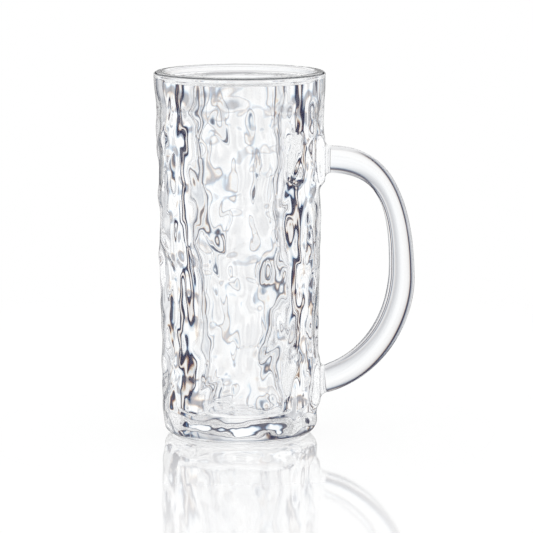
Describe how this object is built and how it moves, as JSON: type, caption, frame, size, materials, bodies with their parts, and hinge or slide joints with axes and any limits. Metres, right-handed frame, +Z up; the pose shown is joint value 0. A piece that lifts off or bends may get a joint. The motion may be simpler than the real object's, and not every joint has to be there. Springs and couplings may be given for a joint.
{
  "type": "beer mug",
  "caption": "Tall clear glass beer mug with a thick, irregularly dimpled wall, thick base, smooth rounded rim and a solid D-shaped glass handle sealed to its side.",
  "frame": {"origin": "on the body's axis, on the surface that the mug stands on", "axes": "+Z up along the body's axis, +X from the axis towards the handle, +Y across the handle"},
  "size_m": [0.1249, 0.082, 0.175],
  "materials": {
    "body_glass": "fire-polished clear pressed glass",
    "handle_glass": "clear pressed glass with a faint matt mould mark on its outer edge"
  },
  "bodies": {
    "root": {"glass_body": "body_glass", "glass_handle": "handle_glass"}
  },
  "joints": []
}
